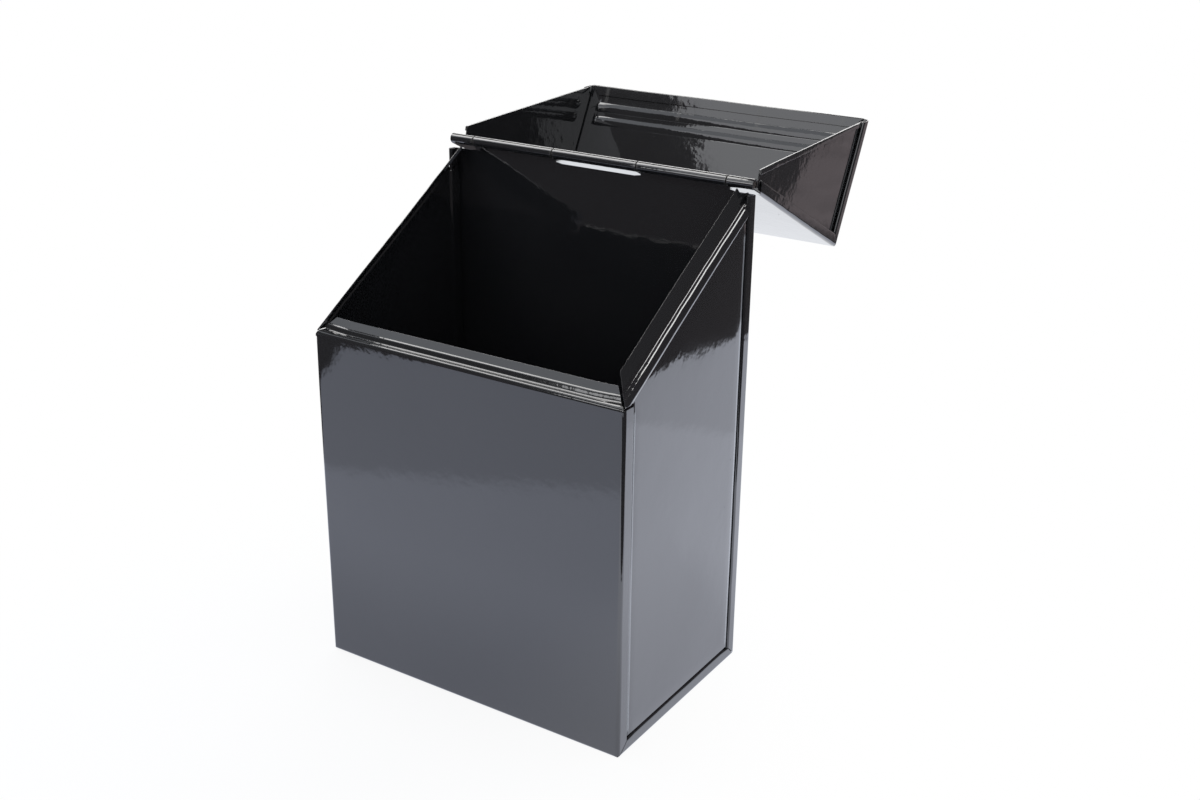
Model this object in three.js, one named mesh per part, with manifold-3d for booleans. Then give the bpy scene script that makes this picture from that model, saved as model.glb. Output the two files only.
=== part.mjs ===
// Kindling box: a small sheet-steel box with a sloping mouth and a hinged lid that swings right over the
// back. Units are millimetres, +Z is up and the front faces -Y. The origin is the middle of the underside.
//
// Seven pieces make it: one sheet bent into front, base and back; two side panels hooked into its folded
// edges; a hinge wire; and a lid of one bent sheet with a cheek hooked in at each end.

import * as THREE from 'three';
import { mergeVertices } from 'three/addons/utils/BufferGeometryUtils.js';
import Module from 'manifold-3d';

const wasm = await Module();
wasm.setup();

const { degToRad } = THREE.MathUtils;

// ---------------------------------------------------------------- driving dimensions

const WIDTH = 150;
const DEPTH = 96.4;
const FRONT_HEIGHT = 149.4;
const MOUTH_SLOPE = degToRad(31.07);

const SHEET = 0.5;
const BEND_RADIUS = 1.6;
const FIT = 0.1;
const JOINT_GAP = 0.3;

// Folded edges that grip the side panels and the lid cheeks, measured across the fold.
const FRONT_SEAM = 6.8;
const BASE_SEAM = 5.5;
const BACK_SEAM = 6;
const LID_TOP_SEAM = 5.5;
const LID_FRONT_SEAM = 5;
const HOOK_SETBACK = 4;
const FRONT_SEAM_DROP = 0.7;

// Each side panel is pressed out so that it lies just under the folded edges round it.
const FIELD_GAP = 0.2;
const FIELD_SLOPE = degToRad(60);
const FIELD_RADIUS = 1;
const CORNER_NOTCH = 0.9;

// Swaged rim round the mouth: a roll, a hollow, a ridge and a sloping lip.
const ROLL_DROP = 1.4;
const ROLL_RADIUS = 2.05;
const ROLL_TURN = degToRad(75);
const SHOULDER_RUN = 0.9;
const HOLLOW_RADIUS = 1.3;
const HOLLOW_TURN = degToRad(60);
const HOLLOW_RUN = 0.7;
const RIDGE_RADIUS = 1;
const RIDGE_TURN = degToRad(40);
const RIDGE_RUN = 0.3;
const LIP_TURN = degToRad(12.5);
const LIP_BEND_RADIUS = 1.5;
const LIP_RUN = 3.2;
const FLARE_RADIUS = 0.6;
const FLARE_TURN = degToRad(38);

// Hinge: rolled knuckles on a plain wire.
const HINGE_RISE = 5.75;
const PIN_DIAMETER = 3.2;
const PIN_FACETS = 24;
const PIN_CLEARANCE = 0.1;
const CURL_TURN = degToRad(300);
const END_KNUCKLE = 12;
const KNUCKLE_GAP = 0.4;
const KNUCKLE_RELIEF = 0.8;
const EAR_LENGTH = 4.2;
const EAR_DROP = 2.8;
const EAR_TIP = 3;

// Lid: it hangs open behind the box, and closes a little past level, onto the rim.
const OPEN_ANGLE = degToRad(207.1);
const SEAT_TILT = degToRad(2);
const RIM_GAP = 2.4;
const FRONT_HEM = 4.6;
const CHEEK_HEM = 2;
const CHEEK_SETBACK_TOP = 6.9;
const CHEEK_SETBACK_RIM = 4.6;
const BEAD_HALF_WIDTH = 2.4;
const BEAD_HEIGHT = 1.2;
const BEAD_END_INSET = 7;
const BEAD_HEIGHTS = [10.4, 17.2];
const BEAD_CAP_FACETS = 6;
const BEAD_ROUND_FACETS = 40;

const BEND_FACET = degToRad(12);

// ---------------------------------------------------------------- worked-out sizes

const SIDE = WIDTH / 2;
const FOLD_RADIUS = SHEET + FIT;
const FOLD_OUTER = FOLD_RADIUS + SHEET / 2;
const HOOK_CENTRE = Math.max(SHEET + FIT + FOLD_OUTER, BEND_RADIUS);
const PANEL_INSET = 3 * (SHEET + FIT);
const PANEL_BACK = PANEL_INSET + SHEET;
const PANEL_ROOT = HOOK_CENTRE + FOLD_OUTER;
const FIELD_INSET = SHEET + FIT;
const BEND_LINE = BEND_RADIUS - SHEET / 2;
const HEM_RADIUS = (SHEET + FIT) / 2;
const RIM_SETBACK = 2 * JOINT_GAP;

const CURL_RADIUS = PIN_DIAMETER / 2 + PIN_CLEARANCE + SHEET / 2;
const BARREL_RADIUS = CURL_RADIUS + SHEET / 2;
const HINGE_Y = DEPTH - BARREL_RADIUS;
const HINGE_Z = FRONT_HEIGHT + DEPTH * Math.tan(MOUTH_SLOPE) + HINGE_RISE;

// How far from the hinge axis a sheet must stop for the open lid to clear it by a given gap.
const openReach = (gap) => (BARREL_RADIUS * (1 - Math.sin(OPEN_ANGLE)) + gap) / -Math.cos(OPEN_ANGLE);
const BACK_HEIGHT = HINGE_Z - openReach(JOINT_GAP);
const LID_NOTCH = openReach(KNUCKLE_RELIEF);

// The lid is drawn round the hinge axis, level and closed, with its front flush with the box.
const LID_LENGTH = HINGE_Y;
const LID_TOP = BARREL_RADIUS;
const RIM_SLOPE = MOUTH_SLOPE - SEAT_TILT;
const MOUTH_RISE = Math.tan(MOUTH_SLOPE);
const SEAT_DROP = HINGE_Z - FRONT_HEIGHT - RIM_GAP - LID_LENGTH * Math.sin(SEAT_TILT);
const SEAT_SHIFT = (HINGE_Y - LID_LENGTH * Math.cos(SEAT_TILT)) * MOUTH_RISE;
const LID_RIM = -(SEAT_DROP - SEAT_SHIFT) / (Math.cos(SEAT_TILT) + Math.sin(SEAT_TILT) * MOUTH_RISE);

const BEAD_ARC_RADIUS = (BEAD_HALF_WIDTH ** 2 + BEAD_HEIGHT ** 2) / (2 * BEAD_HEIGHT);

const OVERLAP = 0.5;
const BEYOND = 2000;
const MERGE_DISTANCE = 1e-4;

// ---------------------------------------------------------------- sheet-metal helpers

const X = new THREE.Vector3(1, 0, 0);
const Y = new THREE.Vector3(0, 1, 0);
const Z = new THREE.Vector3(0, 0, 1);
const UP_MOUTH = new THREE.Vector3(0, Math.cos(MOUTH_SLOPE), Math.sin(MOUTH_SLOPE));
const OFF_MOUTH = new THREE.Vector3(0, -Math.sin(MOUTH_SLOPE), Math.cos(MOUTH_SLOPE));
const UP_RIM = new THREE.Vector3(0, Math.cos(RIM_SLOPE), Math.sin(RIM_SLOPE));
const OFF_RIM = new THREE.Vector3(0, -Math.sin(RIM_SLOPE), Math.cos(RIM_SLOPE));

const at = (x, y, z) => new THREE.Vector3(x, y, z);
const along = (start, direction, distance) => start.clone().addScaledVector(direction, distance);
const run = (length) => ({ length });
const bend = (turn, radius) => ({ turn, radius });

/** Follows straight runs and bends from a start and a heading; a positive turn goes to the left. */
function sheetPath(u, v, heading, steps) {
  const points = [new THREE.Vector2(u, v)];
  let angle = heading;
  for (const { length, turn, radius } of steps) {
    const last = points.at(-1);
    if (length !== undefined) {
      points.push(new THREE.Vector2(last.x + length * Math.cos(angle), last.y + length * Math.sin(angle)));
      continue;
    }
    const facets = Math.ceil(Math.abs(turn) / BEND_FACET);
    const side = Math.sign(turn) * radius;
    const centre = new THREE.Vector2(last.x - side * Math.sin(angle), last.y + side * Math.cos(angle));
    for (let i = 1; i <= facets; i++) {
      const facing = angle + (turn * i) / facets;
      const point = new THREE.Vector2(side * Math.sin(facing), -side * Math.cos(facing));
      points.push(point.add(centre));
    }
    angle += turn;
  }
  return points;
}

/** One face of a sheet, from its centreline: side is 1 for the left face and -1 for the right. */
function sheetFace(points, side) {
  return points.map((point, i) => {
    const before = points[Math.max(i - 1, 0)];
    const after = points[Math.min(i + 1, points.length - 1)];
    const arriving = point.clone().sub(i === 0 ? point : before).normalize();
    const leaving = (i === points.length - 1 ? arriving : after.clone().sub(point)).clone().normalize();
    const tangent = (i === 0 ? leaving : arriving.clone().add(leaving)).clone().normalize();
    const stretch = 1 / tangent.dot(leaving);
    const normal = new THREE.Vector2(-tangent.y, tangent.x);
    return point.clone().addScaledVector(normal, (side * stretch * SHEET) / 2);
  });
}

/** Thickens a centreline into the closed outline of a sheet. */
const sheetOutline = (points) => new THREE.Shape([
  ...sheetFace(points, 1),
  ...sheetFace(points, -1).reverse(),
]);

function solid(geometry) {
  const bare = geometry.clone();
  bare.deleteAttribute('normal');
  bare.deleteAttribute('uv');
  const merged = mergeVertices(bare, MERGE_DISTANCE);
  const corners = merged.index.array;
  const triangles = [];
  for (let i = 0; i < corners.length; i += 3) {
    const [a, b, c] = corners.slice(i, i + 3);
    if (a !== b && b !== c && c !== a) triangles.push(a, b, c);
  }
  return new wasm.Manifold(new wasm.Mesh({
    numProp: 3,
    vertProperties: new Float32Array(merged.attributes.position.array),
    triVerts: new Uint32Array(triangles),
  }));
}

/** Sweeps a flat section straight from start to end; uAxis and vAxis carry the section's own axes. */
function sweep(section, uAxis, vAxis, start, end) {
  const heading = new THREE.Vector3().crossVectors(uAxis, vAxis);
  const forward = heading.dot(end.clone().sub(start)) > 0;
  const options = { depth: start.distanceTo(end), bevelEnabled: false };
  const geometry = new THREE.ExtrudeGeometry(section, options);
  const frame = new THREE.Matrix4().makeBasis(uAxis, vAxis, heading);
  geometry.applyMatrix4(frame.setPosition(forward ? start : end));
  return solid(geometry);
}

/** Sweeps a section drawn in depth and height across the width. */
const sweepAcross = (section, left, right) => sweep(section, Y, Z, at(left, 0, 0), at(right, 0, 0));

/** Everything on the side of a plane that its normal points to. */
function beyondPlane(point, normal) {
  const direction = normal.clone().normalize();
  const geometry = new THREE.BoxGeometry(BEYOND, BEYOND, BEYOND);
  geometry.applyQuaternion(new THREE.Quaternion().setFromUnitVectors(Z, direction));
  const centre = along(point, direction, BEYOND / 2);
  return solid(geometry.translate(centre.x, centre.y, centre.z));
}

const join = (solids) => solids.reduce((sum, next) => sum.add(next));

/** Cuts off everything beyond each plane, given as a point and the normal of the side that goes. */
const trim = (piece, planes) => planes.reduce(
  (rest, [point, normal]) => rest.subtract(beyondPlane(point, normal)),
  piece,
);

function mesh(name, material, piece) {
  const { vertProperties, triVerts } = piece.getMesh();
  const geometry = new THREE.BufferGeometry();
  geometry.setAttribute('position', new THREE.BufferAttribute(vertProperties, 3));
  geometry.setIndex(new THREE.BufferAttribute(triVerts, 1));
  geometry.computeVertexNormals();
  const result = new THREE.Mesh(geometry, material);
  result.name = name;
  return result;
}

// ---------------------------------------------------------------- sections

/** Folded edge of a wrapper: it turns onto the side, runs across it, folds under and runs back. */
function seamSection(width) {
  const reach = width - FOLD_OUTER;
  return sheetOutline(sheetPath(SHEET / 2, BEND_RADIUS + OVERLAP, -Math.PI / 2, [
    run(OVERLAP),
    bend(Math.PI / 2, BEND_LINE),
    run(reach - BEND_RADIUS),
    bend(Math.PI, FOLD_RADIUS),
    run(reach - HOOK_CENTRE),
  ]));
}

/** Hooked edge of a side panel or cheek: it folds outwards, round the wrapper's returned edge. */
function hookSection(width) {
  return sheetOutline(sheetPath(PANEL_ROOT + OVERLAP, PANEL_INSET + SHEET / 2, Math.PI, [
    run(PANEL_ROOT + OVERLAP - HOOK_CENTRE),
    bend(Math.PI, FOLD_RADIUS),
    run(width - FOLD_OUTER - HOOK_CENTRE - FIT),
  ]));
}

/** Where a flat panel's two faces lie across the width, the left one first. */
const panelFaces = (side) => [side * (SIDE - PANEL_INSET), side * (SIDE - PANEL_BACK)].sort((a, b) => a - b);

/** The rim's roll, hollow, ridge and lip, from a wall that heads straight up to the mouth. */
const rimSteps = (turnIn) => [
  bend(-turnIn - ROLL_TURN, ROLL_RADIUS),
  run(SHOULDER_RUN),
  bend(HOLLOW_TURN, HOLLOW_RADIUS),
  run(HOLLOW_RUN),
  bend(-RIDGE_TURN, RIDGE_RADIUS),
  run(RIDGE_RUN),
  bend(LIP_TURN, LIP_BEND_RADIUS),
  run(LIP_RUN),
];

// ---------------------------------------------------------------- box wrapper

const FLARE_OFFSET = FIELD_INSET - (FLARE_RADIUS + ROLL_RADIUS) * (1 - Math.cos(FLARE_TURN));
const FLARE_RUN = FLARE_OFFSET / Math.sin(FLARE_TURN);
const FLARE_RISE = (FLARE_RADIUS + ROLL_RADIUS) * Math.sin(FLARE_TURN) + FLARE_RUN * Math.cos(FLARE_TURN);
const FLARE_DEPTH = ROLL_DROP + FLARE_RISE;
const FRONT_SEAM_TOP = FRONT_HEIGHT - FRONT_SEAM_DROP;

/** Knuckles lie side by side along the wire: the lid's at both ends and in the middle. */
function knuckleSpans() {
  const middle = (WIDTH - 2 * END_KNUCKLE) / 3;
  const edges = [0, END_KNUCKLE, END_KNUCKLE + middle, END_KNUCKLE + 2 * middle, WIDTH - END_KNUCKLE, WIDTH];
  const spans = edges.slice(1).map((right, i) => ({
    left: edges[i] - SIDE + (i === 0 ? 0 : KNUCKLE_GAP / 2),
    right: right - SIDE - (i === edges.length - 2 ? 0 : KNUCKLE_GAP / 2),
  }));
  return {
    lid: spans.filter((_, i) => i % 2 === 0),
    box: spans.filter((_, i) => i % 2 === 1),
  };
}
const KNUCKLES = knuckleSpans();

/** Line from a seam's outer corner to its inner corner, as a cutting plane on the side face. */
function mitreCut(corner, toInner, awayFrom) {
  const normal = new THREE.Vector3().crossVectors(X, toInner).normalize();
  if (normal.dot(awayFrom) > 0) normal.negate();
  return [along(corner, normal, -JOINT_GAP / 2), normal];
}

/** The three folded edges on one side of the wrapper, mitred where they meet. */
function boxSeams(side) {
  const inwards = at(-side, 0, 0);
  const frontFoot = at(side * SIDE, 0, 0);
  const backFoot = at(side * SIDE, DEPTH, 0);
  const frontMitre = at(0, FRONT_SEAM, BASE_SEAM);
  const backMitre = at(0, -BACK_SEAM, BASE_SEAM);
  const frontTop = along(frontFoot, Z, FRONT_SEAM_TOP);
  const backTop = along(backFoot, Z, BACK_HEIGHT);
  const front = sweep(seamSection(FRONT_SEAM), Y, inwards, frontFoot, frontTop);
  const back = sweep(seamSection(BACK_SEAM), Y.clone().negate(), inwards, backFoot, backTop);
  const base = sweep(seamSection(BASE_SEAM), Z, inwards, frontFoot, backFoot);
  return join([
    trim(front, [mitreCut(frontFoot, frontMitre, Z)]),
    trim(back, [mitreCut(backFoot, backMitre, Z)]),
    trim(base, [mitreCut(frontFoot, frontMitre, Y), mitreCut(backFoot, backMitre, Y.clone().negate())]),
  ]);
}

function boxWrapper() {
  const wall = sheetPath(DEPTH - SHEET / 2, BACK_HEIGHT, -Math.PI / 2, [
    run(BACK_HEIGHT - BEND_RADIUS),
    bend(-Math.PI / 2, BEND_LINE),
    run(DEPTH - 2 * BEND_RADIUS),
    bend(-Math.PI / 2, BEND_LINE),
    run(FRONT_HEIGHT - ROLL_DROP - BEND_RADIUS),
  ]);
  const rim = sheetOutline(sheetPath(SHEET / 2, FRONT_HEIGHT - ROLL_DROP - OVERLAP, Math.PI / 2, [
    run(OVERLAP),
    ...rimSteps(0),
  ]));
  const silhouette = new THREE.Shape([...sheetFace(wall, 1), new THREE.Vector2(0, BACK_HEIGHT)]);
  const seams = join([boxSeams(-1), boxSeams(1)]);
  const mitredRim = trim(sweepAcross(rim, -SIDE, SIDE), [-1, 1].map((side) => [
    at(side * SIDE, -JOINT_GAP, 0),
    at(side, 1, 0),
  ]));
  const knuckle = sheetOutline(sheetPath(DEPTH - SHEET / 2, BACK_HEIGHT - OVERLAP, Math.PI / 2, [
    run(HINGE_Z - BACK_HEIGHT + OVERLAP),
    bend(CURL_TURN, CURL_RADIUS),
  ]));
  return join([
    sweepAcross(sheetOutline(wall), -SIDE + BEND_RADIUS, SIDE - BEND_RADIUS),
    seams.intersect(sweepAcross(silhouette, -SIDE, SIDE)),
    mitredRim,
    ...KNUCKLES.box.map(({ left, right }) => sweepAcross(knuckle, left, right)),
    strayEar(KNUCKLES.box[0].left),
  ]);
}

/** A corner of the rolled tab that was left bent down under the barrel. */
function strayEar(left) {
  const ear = new THREE.Shape([
    new THREE.Vector2(0, 0),
    new THREE.Vector2(EAR_LENGTH, 0),
    new THREE.Vector2(EAR_TIP, -EAR_DROP),
  ]);
  const root = at(left, HINGE_Y - CURL_RADIUS / 2, HINGE_Z - BARREL_RADIUS + SHEET);
  return sweep(ear, X, Z, root, along(root, Y, -SHEET));
}

// ---------------------------------------------------------------- side panels

/**
 * The block under a pressed-out field, seen from outside: its face, and on each border a slope that
 * starts at a foot and rolls off into the face. Thinned by the sheet, it is the hollow behind.
 */
function fieldBlock(side, borders, thinning, root) {
  const outwards = at(side, 0, 0);
  const rise = PANEL_INSET - FIELD_INSET;
  const rollOff = FIELD_RADIUS * (1 / Math.cos(FIELD_SLOPE / 2) - 1);
  const tilted = (border, angle) => border.clone().multiplyScalar(Math.sin(angle))
    .addScaledVector(outwards, Math.cos(angle));
  const planes = borders.flatMap(({ foot, border }) => {
    const slope = tilted(border, FIELD_SLOPE);
    const corner = tilted(border, FIELD_SLOPE / 2);
    const start = foot.clone().setX(side * (SIDE - PANEL_INSET));
    const crest = along(along(start, border, -rise / Math.tan(FIELD_SLOPE)), outwards, rise);
    return [
      [along(start, slope, -thinning), slope],
      [along(crest, corner, -thinning - rollOff), corner],
    ];
  });
  const face = at(side * (SIDE - FIELD_INSET - thinning), 0, 0);
  return trim(beyondPlane(at(side * root, 0, 0), outwards), [[face, outwards], ...planes]);
}

/** Presses a panel out towards the level of the folded edges round it. */
function pressField(panel, side, borders) {
  const raised = fieldBlock(side, borders, 0, SIDE - PANEL_BACK + SHEET / 2);
  const hollow = fieldBlock(side, borders, SHEET, SIDE - PANEL_BACK - OVERLAP);
  return panel.add(raised).subtract(hollow);
}

/** Panel with three hooked edges, a pressed-out field and the swaged rim along its sloping top. */
function sidePanel(side) {
  const inwards = at(-side, 0, 0);
  const mouthAt = (y, drop) => FRONT_HEIGHT + y * MOUTH_RISE - drop / Math.cos(MOUTH_SLOPE);
  const near = PANEL_ROOT;
  const far = DEPTH - PANEL_ROOT;
  const plateTop = FLARE_DEPTH + OVERLAP;
  const plate = new THREE.Shape([
    new THREE.Vector2(near, PANEL_ROOT),
    new THREE.Vector2(far, PANEL_ROOT),
    new THREE.Vector2(far, mouthAt(far, plateTop)),
    new THREE.Vector2(near, mouthAt(near, plateTop)),
  ]);

  const hook = (width, inward, start, end) => sweep(hookSection(width), inward, inwards, start, end);
  const edge = at(side * SIDE, 0, 0);
  const hooks = [
    hook(
      FRONT_SEAM,
      Y,
      along(edge, Z, BASE_SEAM + HOOK_SETBACK),
      along(edge, Z, FRONT_HEIGHT - HOOK_SETBACK),
    ),
    hook(
      BACK_SEAM,
      Y.clone().negate(),
      at(side * SIDE, DEPTH, BASE_SEAM + HOOK_SETBACK),
      at(side * SIDE, DEPTH, mouthAt(DEPTH - BACK_SEAM, FLARE_DEPTH) - HOOK_SETBACK),
    ),
    hook(
      BASE_SEAM,
      Z,
      along(edge, Y, FRONT_SEAM + HOOK_SETBACK),
      along(edge, Y, DEPTH - BACK_SEAM - HOOK_SETBACK),
    ),
  ];

  const corner = along(edge, Z, FRONT_HEIGHT);
  const pressed = pressField(join([sweepAcross(plate, ...panelFaces(side)), ...hooks]), side, [
    { foot: at(0, FRONT_SEAM + FIELD_GAP, 0), border: Y.clone().negate() },
    { foot: at(0, DEPTH - BACK_SEAM - FIELD_GAP, 0), border: Y },
    { foot: at(0, 0, BASE_SEAM + FIELD_GAP), border: Z.clone().negate() },
  ]);
  const panel = trim(pressed, [[along(corner, OFF_MOUTH, -FLARE_DEPTH - OVERLAP / 2), OFF_MOUTH]]);

  const rimPath = sheetPath(FIELD_INSET + SHEET / 2, -FLARE_DEPTH - OVERLAP, Math.PI / 2, [
    run(OVERLAP),
    bend(FLARE_TURN, FLARE_RADIUS),
    run(FLARE_RUN),
    ...rimSteps(FLARE_TURN),
  ]);
  const rim = sweep(
    sheetOutline(rimPath),
    inwards,
    OFF_MOUTH,
    along(corner, UP_MOUTH, -DEPTH / 4),
    along(corner, UP_MOUTH, 2 * DEPTH),
  );
  const rimEnds = [
    [at(side * SIDE, RIM_SETBACK, 0), at(-side, -1, 0)],
    [at(0, DEPTH - SHEET - JOINT_GAP, 0), Y],
  ];
  const notch = new THREE.BoxGeometry(2 * PANEL_INSET, 2 * (FRONT_SEAM + FIELD_GAP), BEYOND);
  notch.translate(side * SIDE, 0, FRONT_SEAM_TOP + CORNER_NOTCH - BEYOND / 2);
  const beadReach = PANEL_INSET + FIT;
  const backStrip = new THREE.BoxGeometry(2 * beadReach, 2 * BACK_SEAM + 2 * JOINT_GAP, BEYOND);
  backStrip.translate(side * SIDE, DEPTH, BACK_HEIGHT);
  const hingeRoom = new THREE.BoxGeometry(2 * WIDTH, BEYOND, BEYOND);
  const roomStart = HINGE_Y - BARREL_RADIUS - JOINT_GAP;
  hingeRoom.translate(0, roomStart + BEYOND / 2, BACK_HEIGHT + BEYOND / 2);
  return join([
    panel,
    [notch, backStrip, hingeRoom].reduce((rest, room) => rest.subtract(solid(room)), trim(rim, rimEnds)),
  ]);
}

// ---------------------------------------------------------------- hinge wire

function hingePin() {
  const radius = PIN_DIAMETER / 2;
  const pin = new THREE.CylinderGeometry(radius, radius, WIDTH - 2 * JOINT_GAP, PIN_FACETS);
  pin.rotateZ(Math.PI / 2).translate(0, HINGE_Y, HINGE_Z);
  return solid(pin);
}

// ---------------------------------------------------------------- lid wrapper

const LID_FRONT = -LID_LENGTH;
const lidTopCorner = (side) => at(side * SIDE, LID_FRONT, LID_TOP);
const rimLineHeight = (y) => LID_RIM + (y - LID_FRONT) * Math.tan(RIM_SLOPE);
const CHEEK_END_LEAN = CHEEK_SETBACK_TOP - CHEEK_SETBACK_RIM;
const CHEEK_END_FOOT = rimLineHeight(-CHEEK_SETBACK_RIM);
const CHEEK_END_RISE = LID_TOP - CHEEK_END_FOOT;
const pastCheek = [at(0, -CHEEK_SETBACK_RIM, CHEEK_END_FOOT), at(0, CHEEK_END_RISE, CHEEK_END_LEAN)];
const belowRim = (gap) => [at(0, LID_FRONT, LID_RIM + gap), OFF_RIM.clone().negate()];

/** The folded edges on one side of the lid, mitred at the top corner and cut off along the rim. */
function lidSeams(side) {
  const inwards = at(-side, 0, 0);
  const corner = lidTopCorner(side);
  const mitre = at(0, LID_FRONT_SEAM, -LID_TOP_SEAM);
  const down = Z.clone().negate();
  const frontFoot = along(corner, down, LID_TOP - LID_RIM);
  const front = sweep(seamSection(LID_FRONT_SEAM), Y, inwards, corner, frontFoot);
  const top = sweep(seamSection(LID_TOP_SEAM), down, inwards, corner, along(corner, Y, LID_LENGTH));
  return join([
    trim(front, [mitreCut(corner, mitre, down), belowRim(0)]),
    trim(top, [mitreCut(corner, mitre, Y), pastCheek]),
  ]);
}

/** A long round-ended rod for pressing a bead: it lies along the width, centred off the lid's front. */
function beadTool(radius, height) {
  const halfLength = SIDE - BEAD_END_INSET - BEAD_HALF_WIDTH;
  const profile = new THREE.Path()
    .absarc(0, -halfLength, radius, -Math.PI / 2, 0)
    .absarc(0, halfLength, radius, 0, Math.PI / 2);
  const tool = new THREE.LatheGeometry(profile.getPoints(BEAD_CAP_FACETS), BEAD_ROUND_FACETS);
  tool.rotateZ(Math.PI / 2).translate(0, LID_FRONT + SHEET + BEAD_HEIGHT - BEAD_ARC_RADIUS, LID_RIM + height);
  return solid(tool);
}

/** Stiffening beads: each is pressed inwards, so it is a dome inside and a groove outside. */
function pressBeads(piece) {
  const domes = BEAD_HEIGHTS.map((height) => beadTool(BEAD_ARC_RADIUS, height));
  const grooves = BEAD_HEIGHTS.map((height) => beadTool(BEAD_ARC_RADIUS - SHEET, height));
  const inside = trim(join(domes), [[at(0, LID_FRONT + SHEET / 2, 0), Y.clone().negate()]]);
  return piece.add(inside).subtract(join(grooves));
}

function lidWrapper() {
  const shell = (length) => sheetPath(LID_FRONT + SHEET / 2, LID_RIM, Math.PI / 2, [
    run(LID_TOP - BEND_RADIUS - LID_RIM),
    bend(-Math.PI / 2, BEND_LINE),
    run(length - BEND_RADIUS),
  ]);
  const silhouette = new THREE.Shape([...sheetFace(shell(LID_LENGTH), 1), new THREE.Vector2(0, LID_RIM)]);
  const hem = sheetOutline(sheetPath(LID_FRONT + SHEET / 2, LID_RIM + FRONT_HEM, -Math.PI / 2, [
    run(FRONT_HEM - HEM_RADIUS),
    bend(Math.PI, HEM_RADIUS),
    run(FRONT_HEM - HEM_RADIUS),
  ]));
  const leaf = sheetOutline(sheetPath(-CHEEK_SETBACK_TOP, LID_TOP - SHEET / 2, 0, [
    run(CHEEK_SETBACK_TOP),
    bend(-CURL_TURN, CURL_RADIUS),
  ]));
  const seams = join([lidSeams(-1), lidSeams(1)]);
  const hemSide = SIDE - PANEL_BACK - JOINT_GAP;
  const mitredHem = trim(sweepAcross(hem, -hemSide, hemSide), [-1, 1].map((side) => [
    at(side * hemSide, 0, LID_RIM),
    at(side, 0, 1),
  ]));
  return pressBeads(join([
    sweepAcross(sheetOutline(shell(LID_LENGTH - LID_NOTCH)), -SIDE + BEND_RADIUS, SIDE - BEND_RADIUS),
    mitredHem,
    seams.intersect(sweepAcross(silhouette, -SIDE, SIDE)),
    ...KNUCKLES.lid.map(({ left, right }) => sweepAcross(leaf, left, right)),
  ]));
}

// ---------------------------------------------------------------- lid cheeks

/** Triangular end of the lid: hooked at the top and front, hemmed outwards along the rim. */
function lidCheek(side) {
  const inwards = at(-side, 0, 0);
  const down = Z.clone().negate();
  const front = LID_FRONT + PANEL_ROOT;
  const top = LID_TOP - PANEL_ROOT;
  const topEnd = -CHEEK_SETBACK_RIM - (top - CHEEK_END_FOOT) * (CHEEK_END_LEAN / CHEEK_END_RISE);
  const plate = new THREE.Shape([
    new THREE.Vector2(front, rimLineHeight(front)),
    new THREE.Vector2(-CHEEK_SETBACK_RIM, CHEEK_END_FOOT),
    new THREE.Vector2(topEnd, top),
    new THREE.Vector2(front, top),
  ]);
  const corner = lidTopCorner(side);
  const frontHook = sweep(
    hookSection(LID_FRONT_SEAM),
    Y,
    inwards,
    along(corner, down, LID_TOP_SEAM + HOOK_SETBACK),
    along(corner, down, LID_TOP - LID_RIM),
  );
  const topHook = sweep(
    hookSection(LID_TOP_SEAM),
    down,
    inwards,
    along(corner, Y, LID_FRONT_SEAM + HOOK_SETBACK),
    along(corner, Y, LID_LENGTH - CHEEK_SETBACK_TOP - HOOK_SETBACK),
  );
  const hem = sheetOutline(sheetPath(PANEL_INSET + SHEET / 2, CHEEK_HEM + OVERLAP, -Math.PI / 2, [
    run(CHEEK_HEM + OVERLAP - HEM_RADIUS - SHEET / 2),
    bend(-Math.PI, HEM_RADIUS),
    run(CHEEK_HEM - HEM_RADIUS - SHEET / 2),
  ]));
  const rimStart = at(side * SIDE, LID_FRONT, LID_RIM);
  const rimHem = trim(
    sweep(hem, inwards, OFF_RIM, rimStart, along(rimStart, UP_RIM, LID_LENGTH / Math.cos(RIM_SLOPE))),
    [pastCheek, [at(0, LID_FRONT + LID_FRONT_SEAM + JOINT_GAP, 0), Y.clone().negate()]],
  );
  const body = join([sweepAcross(plate, ...panelFaces(side)), trim(frontHook, [belowRim(HOOK_SETBACK)]), topHook]);
  return join([trim(body, [pastCheek]), rimHem]);
}

// ---------------------------------------------------------------- assembly

const enamel = new THREE.MeshStandardMaterial({ color: 0x111216, roughness: 0.16, metalness: 0 });
const wire = new THREE.MeshStandardMaterial({ color: 0x2a2b2e, roughness: 0.3, metalness: 0.6 });

const lid = new THREE.Group();
lid.position.set(0, HINGE_Y, HINGE_Z);
lid.rotation.x = -OPEN_ANGLE;
lid.add(mesh('lid_wrapper', enamel, lidWrapper()));
lid.add(mesh('lid_cheek_left', enamel, lidCheek(-1)));
lid.add(mesh('lid_cheek_right', enamel, lidCheek(1)));

const kindlingBox = new THREE.Group();
kindlingBox.position.y = -DEPTH / 2;
kindlingBox.add(mesh('box_wrapper', enamel, boxWrapper()));
kindlingBox.add(mesh('side_panel_left', enamel, sidePanel(-1)));
kindlingBox.add(mesh('side_panel_right', enamel, sidePanel(1)));
kindlingBox.add(mesh('hinge_pin', wire, hingePin()));
kindlingBox.add(lid);

export default kindlingBox;
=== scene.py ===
import math

import bmesh
import bpy
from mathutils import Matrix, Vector, noise
from mathutils.bvhtree import BVHTree


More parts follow.
